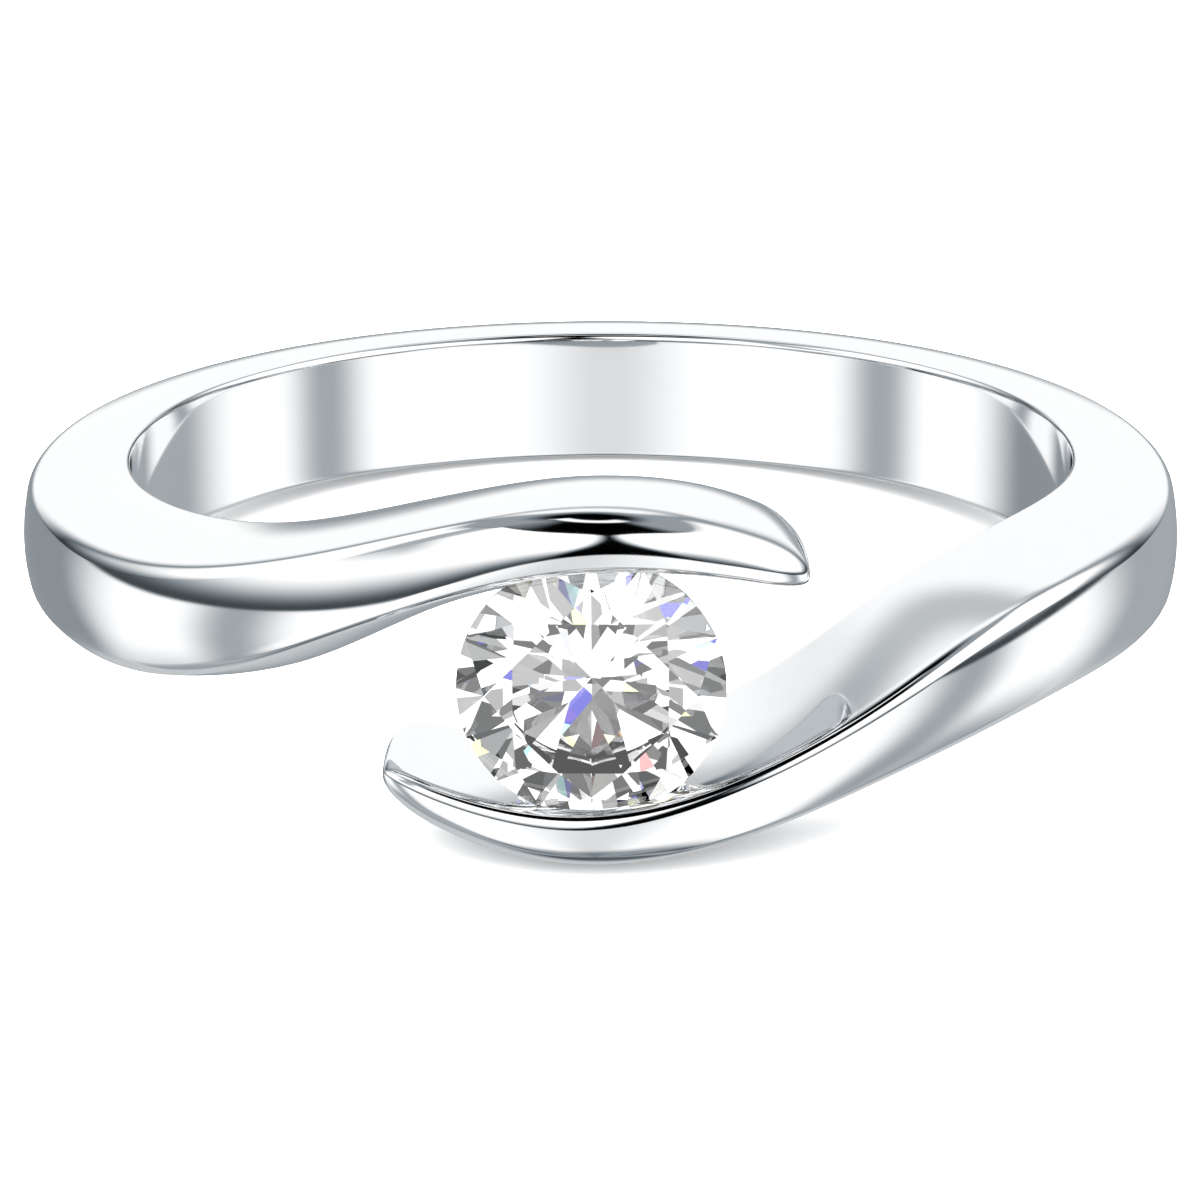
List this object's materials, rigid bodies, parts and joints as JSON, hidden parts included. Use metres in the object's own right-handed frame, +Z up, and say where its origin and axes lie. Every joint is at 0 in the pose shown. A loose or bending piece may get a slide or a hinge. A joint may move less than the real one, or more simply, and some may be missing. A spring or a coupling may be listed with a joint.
{
  "type": "bypass ring with a round stone",
  "caption": "Polished bypass finger ring: the band's two ends pass above and below a round brilliant-cut stone and grip its girdle between them.",
  "frame": {"origin": "middle of the finger hole, on its axis", "axes": "+Z up with the ring lying on its side as it rests, stone towards -Y; the finger hole's axis leans 5.5 degrees from +Z towards +Y"},
  "size_m": [0.021, 0.0217, 0.0063],
  "materials": {
    "band_metal": "mirror-polished rhodium over sterling silver",
    "stone": "clear colourless cubic zirconia, polished facets"
  },
  "bodies": {
    "root": {"bypass_band": "band_metal", "round_stone": "stone"}
  },
  "joints": []
}
